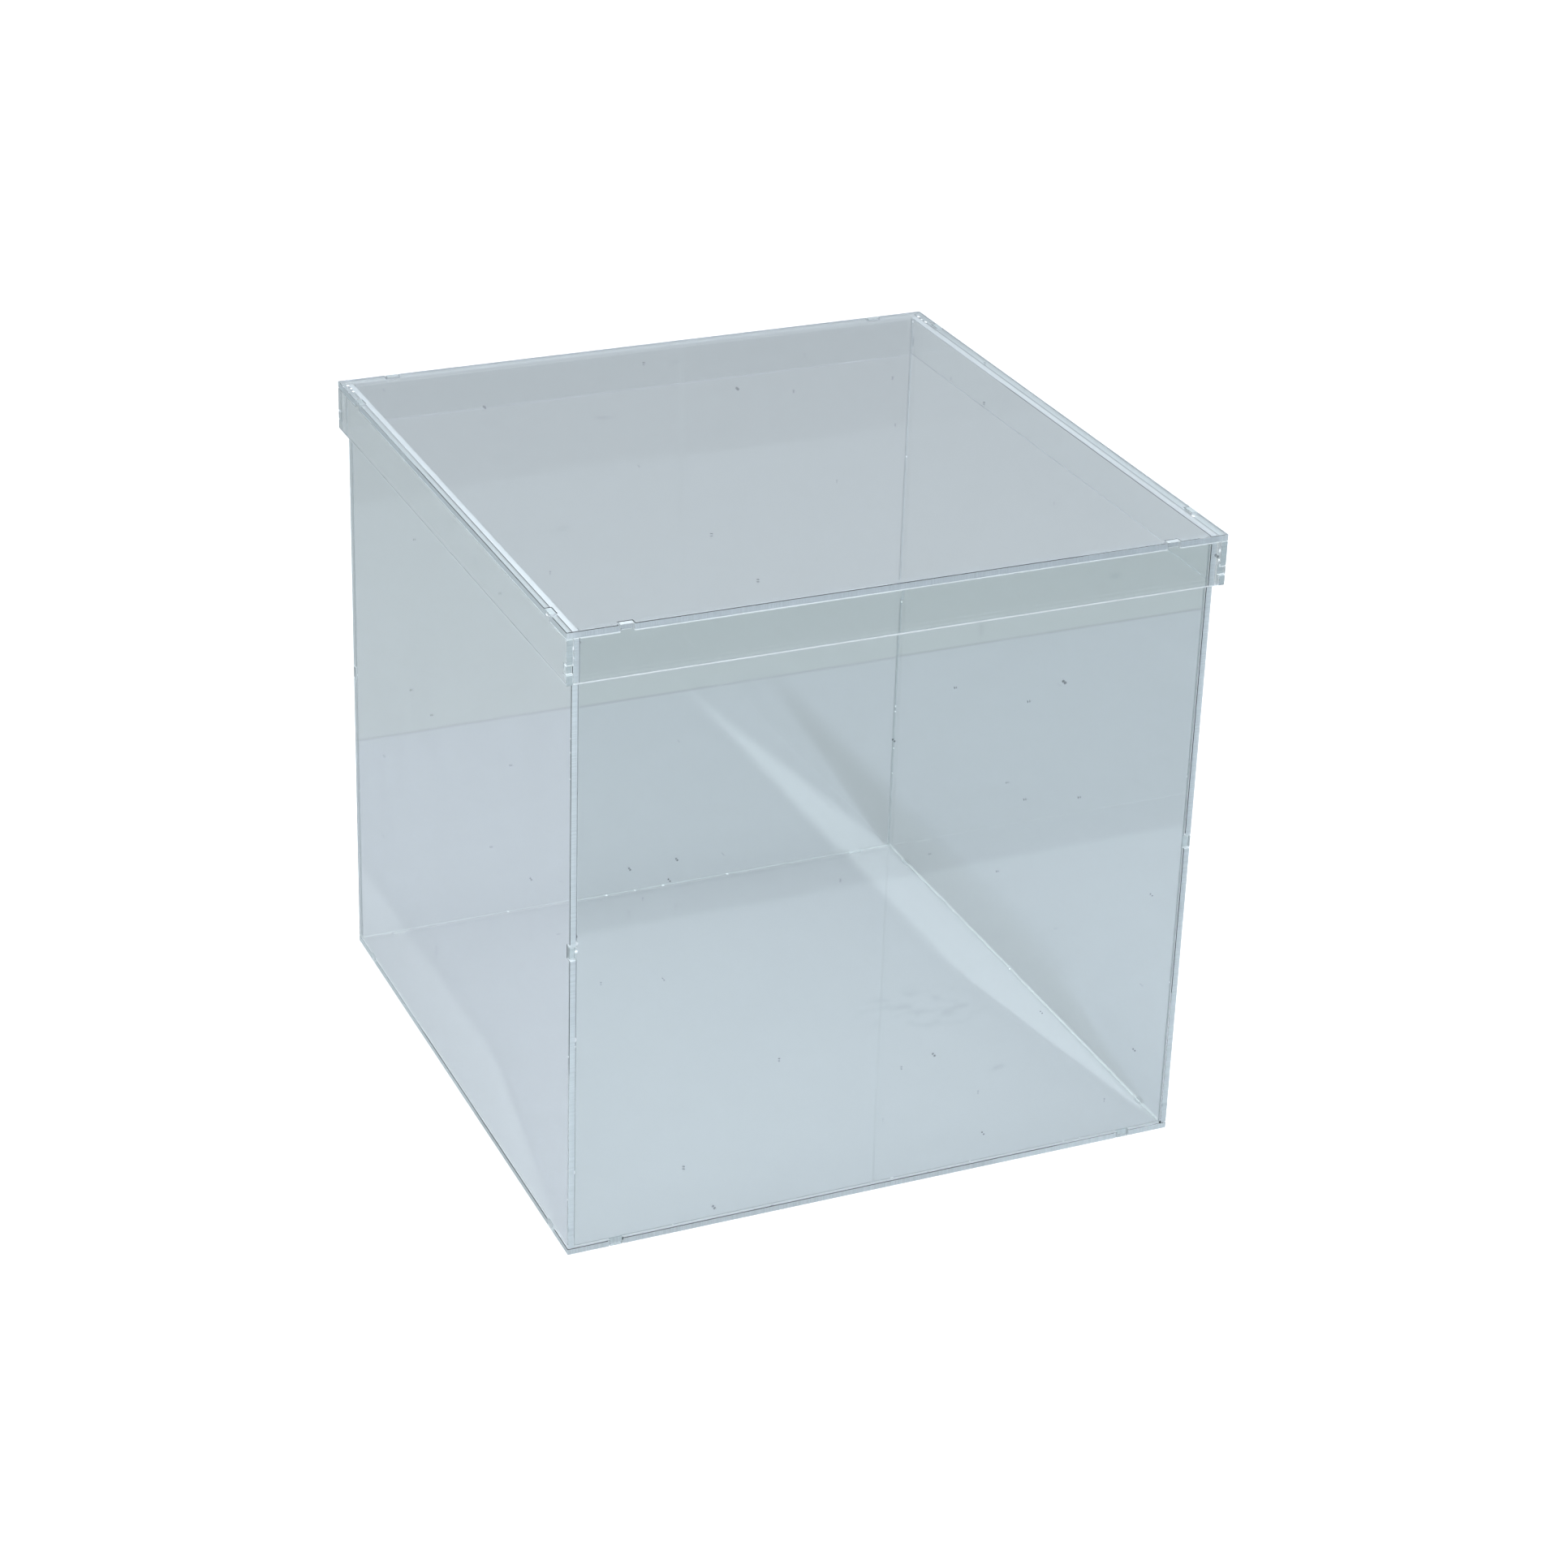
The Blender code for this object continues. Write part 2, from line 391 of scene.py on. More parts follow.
def acrylic_sheet(name, across, shift, tint, pale, rub, rub_reach):
    """Polished cast acrylic sheet with hairlines, dust, a rub mark, a little haze, and cut edges whose colour
    is painted light or shade for that sheet.
    """
    material = bpy.data.materials.new(name)
    material.use_nodes = True
    tree = material.node_tree
    tree.nodes.clear()
    edge = placed(tree, SHEET_EDGE, Across=across)
    plane = placed(tree, SHEET_PLANE, Turn=LAY_FLAT[across], Shift=shift)
    dust = placed(tree, DUST_SPECKS, **DUST)
    hairs = placed(tree, HAIRLINE_SCRATCHES, **HAIRS)
    rubbed = placed(tree, RUB_MARK, Middle=[a + b for a, b in zip(rub, shift)], Reach=rub_reach)
    for marks in (dust, hairs, rubbed):
        tree.links.new(plane.outputs["Plane"], marks.inputs["Plane"])
    cuts = placed(tree, CUT_LINES, Across=across, **CUTS)
    haze = placed(tree, HANDLING_HAZE, **HAZE)
    on_face = maths(tree, "SUBTRACT", 1.0, edge.outputs["Edge"])

    colour = mixed(tree, edge.outputs["Edge"], tint, EDGE_TINT)
    cut_shade = ranged(tree, cuts.outputs["Lines"], 0.35, 0.65, CUT_LINE_SHADE, 1.0)
    colour = mixed(tree, 1.0, colour, maths(tree, "MAXIMUM", cut_shade, on_face), "MULTIPLY")
    specks = maths(tree, "MULTIPLY", dust.outputs["Specks"], on_face)
    specks = maths(tree, "MULTIPLY", specks, SPECK_STRENGTH)
    colour = mixed(tree, specks, colour, SPECK_SHADE)
    rubbed_shade = maths(tree, "MULTIPLY", rubbed.outputs["Rubbed"], RUB_STRENGTH)
    colour = mixed(tree, rubbed_shade, colour, RUB_SHADE)

    rough = maths(tree, "MULTIPLY", haze.outputs["Smears"], SMEAR_ROUGH)
    rough = maths(tree, "ADD", rough, maths(tree, "MULTIPLY", edge.outputs["Edge"], EDGE_ROUGH))
    rough = maths(tree, "ADD", rough, maths(tree, "MULTIPLY", hairs.outputs["Scratches"], HAIR_ROUGH))
    rough = maths(tree, "ADD", rough, maths(tree, "MULTIPLY", rubbed.outputs["Rubbed"], RUB_ROUGH))

    height = maths(tree, "MULTIPLY", haze.outputs["Ripple"], RIPPLE_HEIGHT)
    height = maths(tree, "SUBTRACT", height, maths(tree, "MULTIPLY", hairs.outputs["Scratches"], HAIR_DEPTH))
    lines = maths(tree, "MULTIPLY", cuts.outputs["Lines"], edge.outputs["Edge"])
    height = maths(tree, "ADD", height, maths(tree, "MULTIPLY", lines, CUT_LINE_HEIGHT))
    bump = tree.nodes.new("ShaderNodeBump")
    bump.inputs["Strength"].default_value = BUMP_STRENGTH
    bump.inputs["Distance"].default_value = BUMP_DISTANCE
    tree.links.new(height, bump.inputs["Height"])

    clear = tree.nodes.new("ShaderNodeBsdfPrincipled")
    clear.inputs["IOR"].default_value = ACRYLIC_IOR
    clear.inputs["Transmission Weight"].default_value = 1.0
    tree.links.new(colour, clear.inputs["Base Color"])
    tree.links.new(rough, clear.inputs["Roughness"])
    tree.links.new(bump.outputs["Normal"], clear.inputs["Normal"])
    cut = tree.nodes.new("ShaderNodeBsdfPrincipled")
    cut.inputs["Roughness"].default_value = CUT_ROUGHNESS
    cut.inputs["IOR"].default_value = ACRYLIC_IOR
    # Painted light and shade: the cut edge takes its sheet's own lighter or darker colour, not one colour for
    # all the acrylic
    tree.links.new(mixed(tree, 1.0, pale, cut_shade, "MULTIPLY"), cut.inputs["Base Color"])
    solid = tree.nodes.new("ShaderNodeMixShader")
    tree.links.new(maths(tree, "MULTIPLY", cut_face_mask(tree, across), CUT_SCATTER), solid.inputs[0])
    tree.links.new(clear.outputs["BSDF"], solid.inputs[1])
    tree.links.new(cut.outputs["BSDF"], solid.inputs[2])
    let_lamps_through(tree, solid.outputs["Shader"])
    return material


def finish_node(node, material):
    """Gives a CAD sheet its finish."""
    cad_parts[node].material_slots[0].material = material


# How far each sheet's marks are shifted from the last sheet's
SHIFT_STEP = (0.37, 0.61)


def finish_sheets():
    """Every sheet's own acrylic: the axis it lies across, its shift, tint, cut-edge colour with its painted
    light or shade, and rub mark.
    """
    sheets = (
        ("base_panel", ACROSS_Z, CASE_TINT, FOOT_EDGE_PAINTED_LIGHT, (0.088, -0.014, 0.0), 0.026),
        ("front_wall", ACROSS_Y, FRONT_TINT, CUT_EDGE_PAINTED_LIGHT, (0.06, -0.05, 0.0), 0.004),
        ("back_wall", ACROSS_Y, CASE_TINT, CUT_EDGE_PAINTED_LIGHT, (-0.04, -0.21, 0.0), 0.004),
        ("left_wall", ACROSS_X, CASE_TINT, SIDE_WALL_EDGE_PAINTED_LIGHT, (0.06, 0.03, 0.0), 0.005),
        ("right_wall", ACROSS_X, CASE_TINT, SIDE_WALL_EDGE_PAINTED_LIGHT, (0.17, 0.06, 0.0), 0.005),
        ("lid_panel", ACROSS_Z, LID_TINT, TOP_EDGE_PAINTED_LIGHT, (-0.05, 0.07, 0.0), 0.005),
        ("front_skirt", ACROSS_Y, LID_TINT, RIM_EDGE_PAINTED_LIGHT, (0.10, -0.29, 0.0), 0.003),
        ("back_skirt", ACROSS_Y, LID_TINT, CUT_EDGE_PAINTED_LIGHT, (0.02, -0.29, 0.0), 0.003),
        ("left_skirt", ACROSS_X, LID_TINT, SIDE_SKIRT_EDGE_PAINTED_LIGHT, (0.29, -0.04, 0.0), 0.003),
        ("right_skirt", ACROSS_X, LID_TINT, SIDE_SKIRT_EDGE_PAINTED_LIGHT, (0.29, 0.08, 0.0), 0.003),
    )
    for number, (node, across, tint, pale, rub, reach) in enumerate(sheets):
        shift = (SHIFT_STEP[0] * number, SHIFT_STEP[1] * number, 0.0)
        finish_node(node, acrylic_sheet(node + " acrylic", across, shift, tint, pale, rub, reach))


# ---------------------------------------------------------------- cement

# Beads: radius in the case and in the lid, lift off the sheets, and unevenness of a case bead
CASE_BEAD = 0.00045
LID_BEAD = 0.00025
BEAD_LIFT = 0.00004
HAND_RUN = 0.00002
BEAD_SIDES = 16
BEAD_CUTS = 40
BEAD_SMOOTH_ANGLE = math.radians(40.0)
PROUD_SHARE = 0.2
CUT_THRESHOLD = 0.000001
LAID_ALONG = ((0.0, math.pi / 2, 0.0), (math.pi / 2, 0.0, 0.0), (0.0, 0.0, 0.0))

# Cement
CEMENT_CLEAR = 0.35
CEMENT_TURN = (0.6, 0.9, 0.3)
CEMENT_SHIFT = (5.0, 3.0, 0.0)
PINHEADS = {"Cells": 420.0, "Share": 0.20, "Size": 0.16}
CEMENT_HAZE = {"Smear_Scale": 160.0, "Ripple_Scale": 420.0}
BEAD_LIGHT = (0.56, 0.62, 0.63, 1.0)
BEAD_SHADE = (0.46, 0.52, 0.53, 1.0)
# Bubbles: near white, a painted glint that stands in for the light that air bubbles in clear cement throw
# back
BUBBLE_PAINTED_GLINT = (0.93, 0.97, 0.98, 1.0)
BUBBLE_PAINTED_GLINT_DIM = (0.84, 0.90, 0.91, 1.0)
PINHEAD = (0.80, 0.86, 0.87, 1.0)


def cement_material(name, light, dark):
    """Set cement: glossy, faintly green, full of pinhead bubbles."""
    material = bpy.data.materials.new(name)
    material.use_nodes = True
    tree = material.node_tree
    tree.nodes.clear()
    plane = placed(tree, SHEET_PLANE, Turn=CEMENT_TURN, Shift=CEMENT_SHIFT)
    pinheads = placed(tree, DUST_SPECKS, **PINHEADS)
    tree.links.new(plane.outputs["Plane"], pinheads.inputs["Plane"])
    haze = placed(tree, HANDLING_HAZE, **CEMENT_HAZE)
    shade = mixed(tree, haze.outputs["Smears"], light, dark)
    bump = tree.nodes.new("ShaderNodeBump")
    bump.inputs["Strength"].default_value = 0.5
    bump.inputs["Distance"].default_value = 0.0001
    height = maths(tree, "ADD", haze.outputs["Ripple"], pinheads.outputs["Specks"])
    tree.links.new(height, bump.inputs["Height"])
    shader = tree.nodes.new("ShaderNodeBsdfPrincipled")
    shader.inputs["IOR"].default_value = ACRYLIC_IOR
    shader.inputs["Transmission Weight"].default_value = CEMENT_CLEAR
    tree.links.new(mixed(tree, pinheads.outputs["Specks"], shade, PINHEAD), shader.inputs["Base Color"])
    rough = maths(tree, "ADD", maths(tree, "MULTIPLY", pinheads.outputs["Specks"], 0.35), 0.05)
    tree.links.new(rough, shader.inputs["Roughness"])
    tree.links.new(bump.outputs["Normal"], shader.inputs["Normal"])
    let_lamps_through(tree, shader.outputs["BSDF"])
    return material


def start_piece():
    """Leaves nothing selected."""
    bpy.ops.object.select_all(action="DESELECT")


def end_piece(name, material, body):
    """Settles the active object as a finished piece with its place in its mesh."""
    piece = bpy.context.object
    piece.name = name
    bpy.ops.object.transform_apply(location=True, rotation=True, scale=True)
    piece.data.materials.append(material)
    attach(piece, body)
    return piece


def cement_bead(name, axis, ends, corner, inward, radius, body, material):
    """A quarter-round bead run by hand along an inside corner.

    axis is the way it runs, ends its two ends on that axis, corner a point of the corner line,
    and inward the side of the corner, along the other two axes, that the bead fills."""
    start_piece()
    middle = list(corner)
    middle[axis] = (ends[0] + ends[1]) / 2
    length = ends[1] - ends[0]
    bpy.ops.mesh.primitive_cylinder_add(
        vertices=BEAD_SIDES, radius=radius, depth=length, location=middle, rotation=LAID_ALONG[axis]
    )
    bpy.ops.object.transform_apply(location=True, rotation=True, scale=True)
    bpy.ops.object.mode_set(mode="EDIT")
    others = [other for other in range(3) if other != axis]
    for other in others:
        face = list(corner)
        face[other] += inward[other] * BEAD_LIFT
        facing = [0.0, 0.0, 0.0]
        facing[other] = -float(inward[other])
        bpy.ops.mesh.select_all(action="SELECT")
        bpy.ops.mesh.bisect(
            plane_co=face, plane_no=facing, use_fill=True, clear_outer=True, threshold=CUT_THRESHOLD
        )
    along = [0.0, 0.0, 0.0]
    along[axis] = 1.0
    for cut in range(1, BEAD_CUTS):
        face = list(corner)
        face[axis] = ends[0] + length * cut / BEAD_CUTS
        bpy.ops.mesh.select_all(action="SELECT")
        bpy.ops.mesh.bisect(plane_co=face, plane_no=along, threshold=CUT_THRESHOLD)
    bpy.ops.object.mode_set(mode="OBJECT")
    piece = bpy.context.object
    for vertex in piece.data.vertices:
        vertex.select = all(abs(vertex.co[other] - corner[other]) > PROUD_SHARE * radius for other in others)
    bpy.ops.object.mode_set(mode="EDIT")
    bpy.ops.transform.vertex_random(offset=HAND_RUN * radius / CASE_BEAD, seed=len(name))
    bpy.ops.mesh.select_all(action="SELECT")
    bpy.ops.mesh.normals_make_consistent(inside=False)
    bpy.ops.object.mode_set(mode="OBJECT")
    bpy.ops.object.shade_smooth_by_angle(angle=BEAD_SMOOTH_ANGLE)
    return end_piece(name, material, body)


def case_beads(material):
    """Cement along the four upright corners and round the foot."""
    base_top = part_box("base_panel")[1].z
    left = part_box("left_wall")[1].x
    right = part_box("right_wall")[0].x
    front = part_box("front_wall")[1].y
    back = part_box("back_wall")[0].y
    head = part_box("front_wall")[1].z - 2 * CASE_BEAD
    for side, x, inward_x in (("left", left, 1), ("right", right, -1)):
        for end, y, inward_y in (("front", front, 1), ("back", back, -1)):
            cement_bead(f"{end}_{side}_corner_cement", 2, (base_top + CASE_BEAD, head), (x, y, 0.0),
                        (inward_x, inward_y, 0), CASE_BEAD, "case", material)
        cement_bead(f"{side}_foot_cement", 1, (front + CASE_BEAD, back - CASE_BEAD), (x, 0.0, base_top),
                    (inward_x, 0, 1), CASE_BEAD, "case", material)
    for end, y, inward_y in (("front", front, 1), ("back", back, -1)):
        cement_bead(f"{end}_foot_cement", 0, (left + CASE_BEAD, right - CASE_BEAD),
                    (0.0, y, base_top), (0, inward_y, 1), CASE_BEAD, "case", material)


def lid_beads(material):
    """Finer cement inside the lid, where it has to clear the case."""
    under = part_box("lid_panel")[0].z
    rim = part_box("front_skirt")[0].z
    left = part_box("left_skirt")[1].x
    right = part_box("right_skirt")[0].x
    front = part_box("front_skirt")[1].y
    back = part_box("back_skirt")[0].y
    for side, x, inward_x in (("left", left, 1), ("right", right, -1)):
        for end, y, inward_y in (("front", front, 1), ("back", back, -1)):
            cement_bead(f"lid_{end}_{side}_cement", 2, (rim + LID_BEAD, under - LID_BEAD), (x, y, 0.0),
                        (inward_x, inward_y, 0), LID_BEAD, "lid", material)


# Pressed drops: the ball they start from, and how far one side is drawn out
BUBBLE_SEGMENTS = 14
BUBBLE_RINGS = 8
DRAWN_OUT = 0.5
UPRIGHT = (0.0, 0.0, 1.0)
SIDEWAYS = (1.0, 0.0, 0.0)
BACKWARD = (0.0, 1.0, 0.0)

# Grit
GRIT_DARK = (0.05, 0.06, 0.06, 1.0)
GRIT_LIGHT = (0.13, 0.14, 0.14, 1.0)
GRIT_HAZE = {"Smear_Scale": 900.0, "Ripple_Scale": 1500.0}
GRIT_SMOOTHEST = 0.35
GRIT_ROUGHEST = 0.7


def grit_material():
    """Dark grit caught in the cement."""
    material = bpy.data.materials.new("caught grit")
    material.use_nodes = True
    tree = material.node_tree
    shader = tree.nodes["Principled BSDF"]
    haze = placed(tree, HANDLING_HAZE, **GRIT_HAZE)
    shade = mixed(tree, haze.outputs["Smears"], GRIT_DARK, GRIT_LIGHT)
    tree.links.new(shade, shader.inputs["Base Color"])
    rough = ranged(tree, haze.outputs["Ripple"], 0.0, 1.0, GRIT_SMOOTHEST, GRIT_ROUGHEST)
    tree.links.new(rough, shader.inputs["Roughness"])
    return material


def pressed_drop(place, size, lean):
    """One drop squeezed flat in a seam: a ball pressed to its size and drawn out to one side."""
    start_piece()
    bpy.ops.mesh.primitive_uv_sphere_add(
        segments=BUBBLE_SEGMENTS, ring_count=BUBBLE_RINGS, radius=1.0, location=place, scale=size
    )
    drop = bpy.context.object
    bpy.ops.object.transform_apply(location=True, rotation=True, scale=True)
    middle = Vector(place)
    for vertex in drop.data.vertices:
        vertex.select = (vertex.co - middle).dot(Vector(lean)) > 0.0
    bpy.ops.object.mode_set(mode="EDIT")
    bpy.ops.mesh.select_mode(type="VERT")
    pull = [DRAWN_OUT * reach * way for reach, way in zip(size, lean)]
    bpy.ops.transform.translate(value=pull)
    bpy.ops.mesh.select_all(action="SELECT")
    bpy.ops.mesh.normals_make_consistent(inside=False)
    bpy.ops.object.mode_set(mode="OBJECT")
    bpy.ops.object.shade_smooth()
    return drop


def seam_drops(name, drops, body, material):
    """Several pressed drops that make up one piece."""
    made = [pressed_drop(*drop) for drop in drops]
    start_piece()
    for drop in made:
        drop.select_set(True)
    bpy.context.view_layer.objects.active = made[0]
    if len(made) > 1:
        bpy.ops.object.join()
    return end_piece(name, material, body)


def bubbles_and_grit(cement):
    """Bubbles in the front-left seam and the lid corners, and grit beside the foot tabs.

    Each drop has its middle, its half sizes and the way it is drawn out."""
    grit = grit_material()
    case_low, case_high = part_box("left_wall")[0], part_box("right_wall")[1]
    seam = (case_low.x + 0.0030, case_low.y + 0.0009)
    seam_drops("front_left_seam_bubbles", (
        ((seam[0], seam[1], 0.1553), (0.0011, 0.0006, 0.0013), UPRIGHT),
        ((seam[0] + 0.0002, seam[1], 0.1517), (0.0008, 0.0006, 0.0008), UPRIGHT),
        ((seam[0], seam[1], 0.1083), (0.0009, 0.0006, 0.0012), UPRIGHT),
        ((seam[0] - 0.0002, seam[1], 0.1052), (0.0006, 0.0005, 0.0006), UPRIGHT),
        ((seam[0], seam[1], 0.0415), (0.0007, 0.0005, 0.0010), UPRIGHT),
    ), "case", cement)
    seam_drops("front_left_seam_grit", (
        ((seam[0] + 0.0004, seam[1], 0.1590), (0.0004, 0.0004, 0.0009), UPRIGHT),
        ((seam[0] + 0.0002, seam[1], 0.2270), (0.0003, 0.0003, 0.0008), UPRIGHT),
    ), "case", grit)
    foot = case_low.y + 0.0004
    seam_drops("foot_grit", (
        ((-0.1238, foot, 0.0022), (0.0005, 0.0003, 0.0009), UPRIGHT),
        ((-0.0520, foot + 0.0003, 0.0031), (0.0006, 0.0003, 0.0003), SIDEWAYS),
        ((0.0260, foot + 0.0003, 0.0031), (0.0005, 0.0003, 0.0003), SIDEWAYS),
        ((case_high.x - 0.0032, foot, 0.0034), (0.0008, 0.0003, 0.0008), SIDEWAYS),
    ), "case", grit)
    lid_low, lid_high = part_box("left_skirt")[0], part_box("right_skirt")[1]
    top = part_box("lid_panel")[0].z
    front_y = lid_low.y
    back_y = lid_high.y
    for side, x, inward in (("left", lid_low.x, 1.0), ("right", lid_high.x, -1.0)):
        near_x = x + inward * 0.0032
        seam_drops(f"lid_{side}_seam_bubbles", (
            ((near_x, front_y + 0.0010, top - 0.0052), (0.0007, 0.0005, 0.0010), UPRIGHT),
            ((near_x + inward * 0.0002, front_y + 0.0010, top - 0.0094), (0.0005, 0.0004, 0.0007), UPRIGHT),
            ((near_x, front_y + 0.0250, top + 0.0002), (0.0006, 0.0010, 0.0002), BACKWARD),
            ((near_x, back_y - 0.0060, top + 0.0002), (0.0008, 0.0011, 0.0002), BACKWARD),
            ((near_x + inward * 0.0003, back_y - 0.0102, top + 0.0002), (0.0006, 0.0008, 0.0002), BACKWARD),
            ((near_x, back_y - 0.0144, top + 0.0002), (0.0007, 0.0010, 0.0002), BACKWARD),
        ), "lid", cement)


def case_and_lid_cement():
    """All the cement on the cube, with what is caught in it."""
    beads = cement_material("set cement", BEAD_LIGHT, BEAD_SHADE)
    case_beads(beads)
    lid_beads(beads)
    # The bubbles' near-white colour is a painted glint
    bubbles_and_grit(cement_material("cement bubbles painted glint", BUBBLE_PAINTED_GLINT, BUBBLE_PAINTED_GLINT_DIM))


# ---------------------------------------------------------------- studio

# Floor: white where the camera sees it bare, and toned for all other light. Behind the cube a darker
# backdrop starts, and in front of it the floor is painted dark for reflected rays only: a painted reflection
# of a dark room.
FLOOR_SIZE = 200.0
FLOOR_DROP = 0.0003
FLOOR_WHITE = (0.96, 0.96, 0.96, 1.0)
FLOOR_SEEN_THROUGH = (0.386, 0.420, 0.441, 1.0)
BACKDROP_SEEN_THROUGH = (0.377, 0.413, 0.418, 1.0)
BORDER_SHADE = (0.86, 0.86, 0.86, 1.0)
ROOM_PAINTED_REFLECTION = (0.05, 0.06, 0.06, 1.0)
BACKDROP_START = 0.375
ROOM_START = -0.42
SOFT_BORDER = 0.0015
GRAIN_SCALE = 60.0
GRAIN_DETAIL = 5.0
GRAIN_SHADE = 0.985


def studio_floor():
    """A wide plain pale floor: white where the camera sees it bare, and true in tone through the acrylic."""
    bpy.ops.object.select_all(action="DESELECT")
    bpy.ops.mesh.primitive_plane_add(size=FLOOR_SIZE, location=(0.0, 0.0, -FLOOR_DROP))
    floor = bpy.context.object
    floor.name = "studio_floor"
    bpy.ops.object.transform_apply(location=True, rotation=True, scale=True)
    material = bpy.data.materials.new("pale floor paper")
    material.use_nodes = True
    tree = material.node_tree
    shader = tree.nodes["Principled BSDF"]
    shader.inputs["Roughness"].default_value = 0.9
    shader.inputs["Specular IOR Level"].default_value = 0.0
    place = tree.nodes.new("ShaderNodeTexCoord")
    parts = tree.nodes.new("ShaderNodeSeparateXYZ")
    tree.links.new(place.outputs["Object"], parts.inputs["Vector"])
    rays = tree.nodes.new("ShaderNodeLightPath")
    behind = ranged(tree, parts.outputs["Y"], BACKDROP_START - SOFT_BORDER, BACKDROP_START + SOFT_BORDER)
    tone = mixed(tree, behind, FLOOR_SEEN_THROUGH, BACKDROP_SEEN_THROUGH)
    off_border = maths(tree, "ABSOLUTE", maths(tree, "SUBTRACT", parts.outputs["Y"], BACKDROP_START))
    border = ranged(tree, off_border, 0.0, 2 * SOFT_BORDER, 1.0, 0.0)
    tone = mixed(tree, border, tone, mixed(tree, 1.0, tone, BORDER_SHADE, "MULTIPLY"))
    # Painted reflection: in front of ROOM_START the floor turns dark for reflected rays only, standing in for
    # a dark room
    nearest = ROOM_START - 2 * SOFT_BORDER
    farthest = ROOM_START + 2 * SOFT_BORDER
    in_front = ranged(tree, parts.outputs["Y"], nearest, farthest, 1.0, 0.0)
    mirrored = maths(tree, "MINIMUM", rays.outputs["Glossy Depth"], 1.0)
    tone = mixed(tree, maths(tree, "MULTIPLY", in_front, mirrored), tone, ROOM_PAINTED_REFLECTION)
    grain = noise(tree, place.outputs["Object"], GRAIN_SCALE, GRAIN_DETAIL)
    grain_shade = ranged(tree, grain.outputs["Fac"], 0.3, 0.7, GRAIN_SHADE, 1.0)
    tone = mixed(tree, 1.0, tone, grain_shade, "MULTIPLY")
    tree.links.new(mixed(tree, rays.outputs["Is Camera Ray"], tone, FLOOR_WHITE), shader.inputs["Base Color"])
    floor.data.materials.append(material)


# Lamp high in front, and its gleam off the side walls
LAMP_PLACE = (0.0, -1.1, 2.0)
LAMP_AIM = (0.0, 0.0, 0.1)
LAMP_SIZE = 0.05
LAMP_POWER = 17.0
LAMP_TINT = (0.93, 0.96, 1.13)
GLEAM_POWER = 84.0
GLEAM_BLUR = 0.010
FAR_BLUR = 4

# Softbox close on the left
SOFTBOX_PLACE = (-0.55, -0.45, 0.6)
SOFTBOX_AIM = (-0.1, -0.05, 0.0)
SOFTBOX_SIZE = 0.4
SOFTBOX_POWER = 2.0

# Surround, by height of the way looked in, and how much darker it is towards the room in front
SKY_STRENGTH = 1.0
SKY_LOW = (0.50, 0.54, 0.60, 1.0)
SKY_MIDDLE = (0.53, 0.57, 0.64, 1.0)
SKY_HIGH = (1.80, 1.80, 1.80, 1.0)
SKY_MIDDLE_HEIGHT = 0.42
SKY_HIGH_HEIGHT = 0.95
ROOM_SIDE = -0.75
STUDIO_SIDE = -0.15
ROOM_SHADE = 0.80
CAMERA_WHITE = (1.0, 1.0, 1.0, 1.0)


def studio_light():
    """Soft light from above and behind, and one small lamp high in front."""
    world = bpy.data.worlds.new("studio surround")
    bpy.context.scene.world = world
    world.use_nodes = True
    tree = world.node_tree
    background = tree.nodes["Background"]
    way = tree.nodes.new("ShaderNodeTexCoord")
    parts = tree.nodes.new("ShaderNodeSeparateXYZ")
    tree.links.new(way.outputs["Generated"], parts.inputs["Vector"])
    low = mixed(tree, ranged(tree, parts.outputs["Z"], 0.0, SKY_MIDDLE_HEIGHT), SKY_LOW, SKY_MIDDLE)
    sky = mixed(tree, ranged(tree, parts.outputs["Z"], SKY_MIDDLE_HEIGHT, SKY_HIGH_HEIGHT), low, SKY_HIGH)
    facing_room = ranged(tree, parts.outputs["Y"], ROOM_SIDE, STUDIO_SIDE, ROOM_SHADE, 1.0)
    sky = mixed(tree, 1.0, sky, facing_room, "MULTIPLY")
    rays = tree.nodes.new("ShaderNodeLightPath")
    sky = mixed(tree, rays.outputs["Is Camera Ray"], sky, CAMERA_WHITE)
    tree.links.new(sky, background.inputs["Color"])
    background.inputs["Strength"].default_value = SKY_STRENGTH
    data = bpy.data.lights.new("front lamp", "AREA")
    data.shape = "DISK"
    data.size = LAMP_SIZE
    data.energy = LAMP_POWER
    data.color = LAMP_TINT
    lamp = bpy.data.objects.new("front lamp", data)
    lamp.location = LAMP_PLACE
    aim = Vector(LAMP_AIM) - Vector(LAMP_PLACE)
    lamp.rotation_euler = aim.to_track_quat("-Z", "Y").to_euler()
    lamp.visible_camera = False
    bpy.context.scene.collection.objects.link(lamp)


def side_softbox():
    """A soft light close on the left, so tone falls off to the right; the acrylic itself doesn't show it."""
    data = bpy.data.lights.new("left softbox", "AREA")
    data.size = SOFTBOX_SIZE
    data.energy = SOFTBOX_POWER
    box = bpy.data.objects.new("left softbox", data)
    box.location = SOFTBOX_PLACE
    aim = Vector(SOFTBOX_AIM) - Vector(SOFTBOX_PLACE)
    box.rotation_euler = aim.to_track_quat("-Z", "Y").to_euler()
    box.visible_camera = False
    box.visible_glossy = False
    box.visible_transmission = False
    bpy.context.scene.collection.objects.link(box)


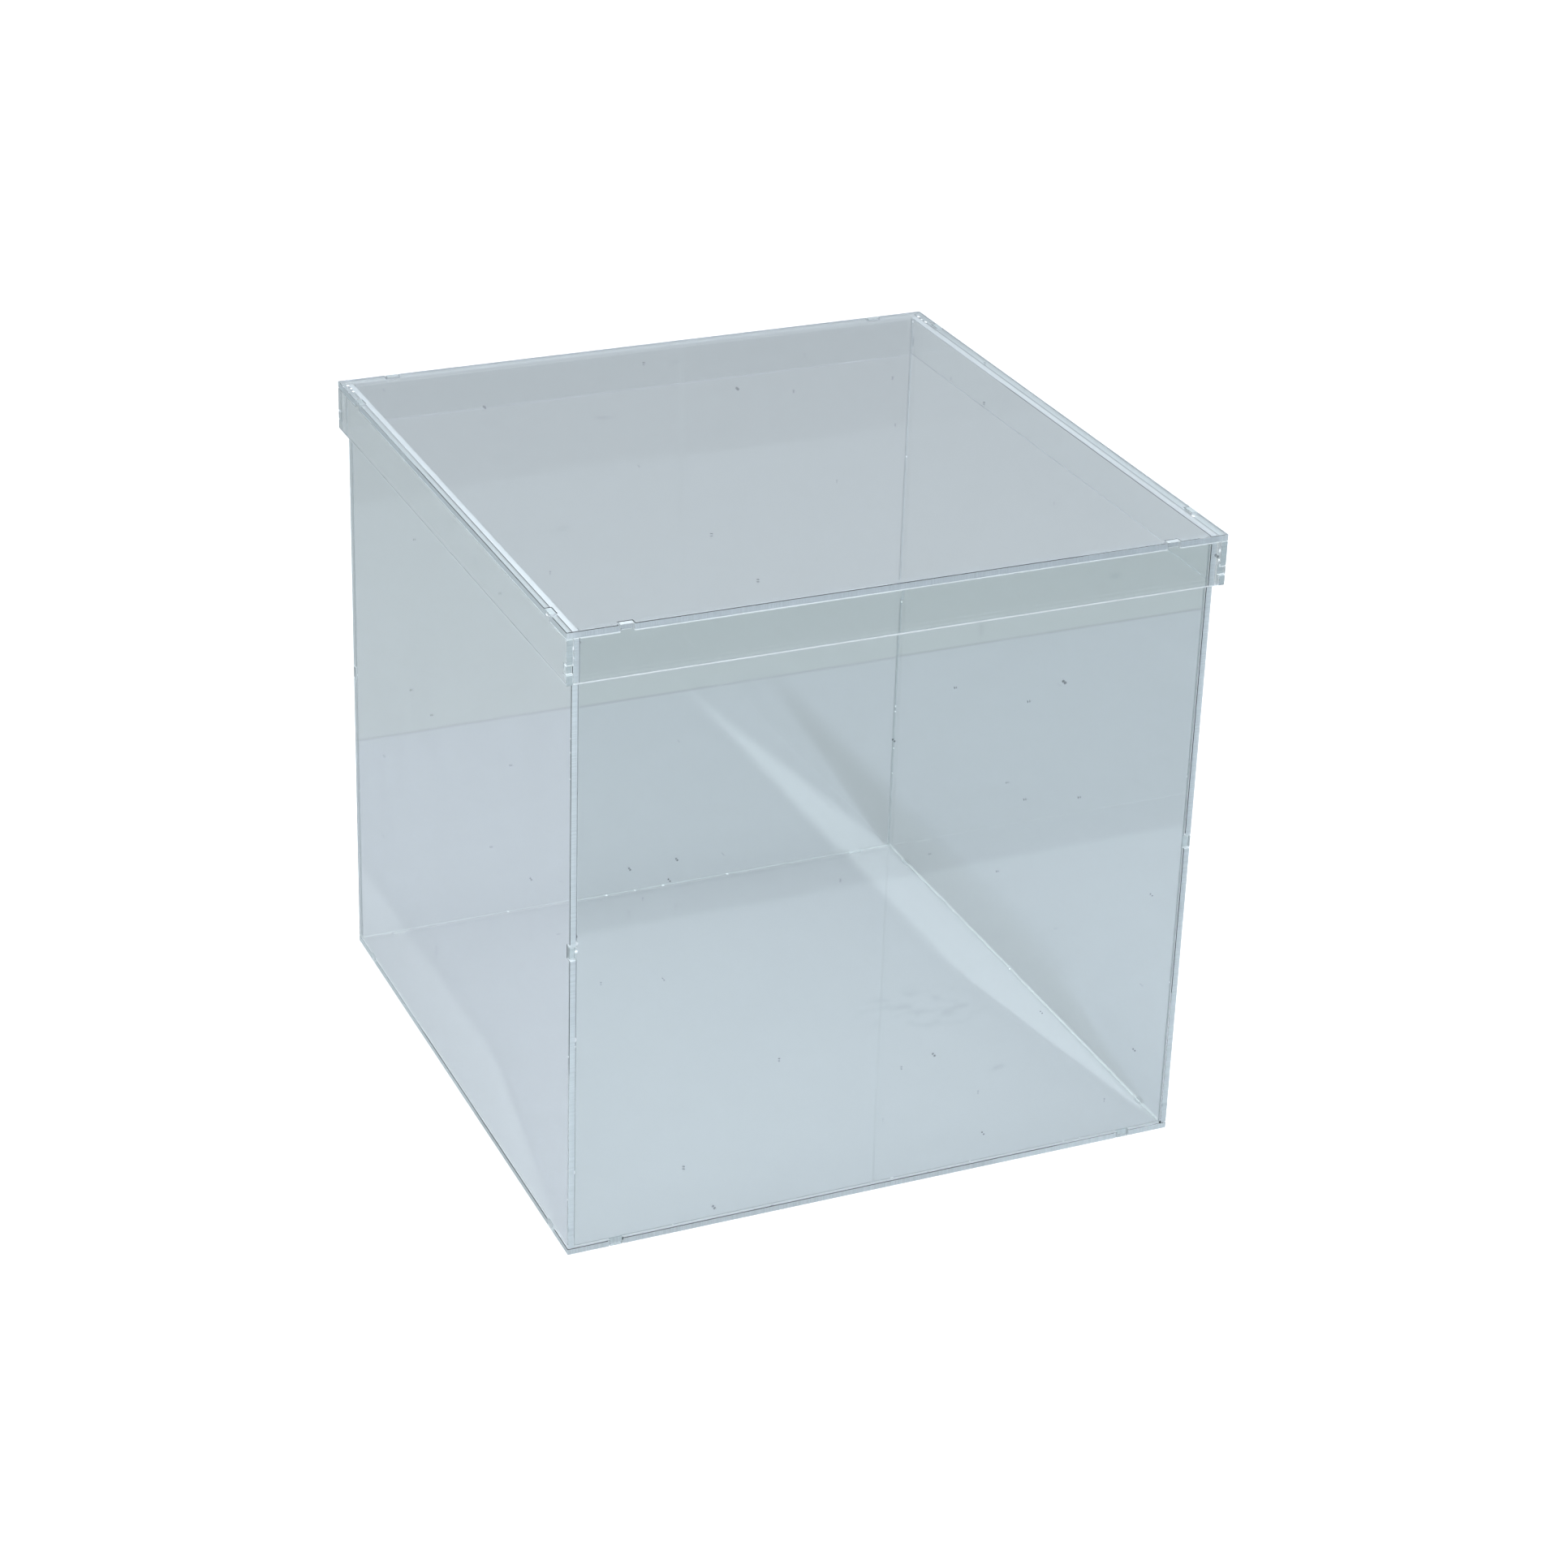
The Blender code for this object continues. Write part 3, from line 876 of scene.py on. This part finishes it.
def wall_gleam(name, wall):
    """Lamp light that a side wall turns back: a lamp mirrored in the wall, shining through its outline."""
    low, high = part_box(wall)
    plane = (low.x + high.x) / 2
    side = plane - LAMP_PLACE[0]
    data = bpy.data.lights.new(name, "POINT")
    data.shadow_soft_size = 0.0
    data.use_shadow = False
    data.energy = GLEAM_POWER
    data.use_nodes = True
    tree = data.node_tree
    way = tree.nodes.new("ShaderNodeTexCoord")
    parts = tree.nodes.new("ShaderNodeSeparateXYZ")
    tree.links.new(way.outputs["Normal"], parts.inputs["Vector"])
    shares = []
    for axis, start, ends in (("Y", LAMP_PLACE[1], (low.y, high.y)), ("Z", LAMP_PLACE[2], (low.z, high.z))):
        slope = maths(tree, "DIVIDE", parts.outputs[axis], parts.outputs["X"])
        crossing = maths(tree, "SUBTRACT", start, maths(tree, "MULTIPLY", slope, side))
        far_blur = FAR_BLUR * GLEAM_BLUR
        shares.append(ranged(tree, crossing, ends[0] - GLEAM_BLUR, ends[0] + GLEAM_BLUR))
        shares.append(ranged(tree, crossing, ends[1] - far_blur, ends[1] + far_blur, 1.0, 0.0))
    share = shares[0]
    for other in shares[1:]:
        share = maths(tree, "MULTIPLY", share, other)
    tree.links.new(share, tree.nodes["Emission"].inputs["Strength"])
    gleam = bpy.data.objects.new(name, data)
    gleam.location = (plane + side, LAMP_PLACE[1], LAMP_PLACE[2])
    bpy.context.scene.collection.objects.link(gleam)


CAMERA_PLACE = (-0.62396, -1.40097, 0.90505)
CAMERA_TURN = (65.4458, -1.1201, -22.3256)
CAMERA_LENS = 82.826
CAMERA_SHIFT = (0.0600, -0.0859)


def studio_camera():
    """Looks down at the front and left walls."""
    data = bpy.data.cameras.new("studio camera")
    data.sensor_width = 36.0
    data.lens = CAMERA_LENS
    data.shift_x, data.shift_y = CAMERA_SHIFT
    data.clip_start = 0.01
    data.clip_end = 100.0
    camera = bpy.data.objects.new("studio camera", data)
    camera.location = CAMERA_PLACE
    camera.rotation_euler = Euler([math.radians(turn) for turn in CAMERA_TURN])
    bpy.context.scene.collection.objects.link(camera)
    bpy.context.scene.camera = camera


# Light has to be able to run the whole way along inside a sheet
LONGEST_PATH = 40

studio_camera()
studio_light()
side_softbox()
wall_gleam("right wall gleam", "right_wall")
wall_gleam("left wall gleam", "left_wall")
studio_floor()
finish_sheets()
case_and_lid_cement()
bpy.context.scene.view_settings.view_transform = "Standard"
bpy.context.scene.cycles.max_bounces = LONGEST_PATH
bpy.context.scene.cycles.glossy_bounces = LONGEST_PATH
bpy.context.scene.cycles.transmission_bounces = LONGEST_PATH
bpy.context.scene.cycles.transparent_max_bounces = LONGEST_PATH
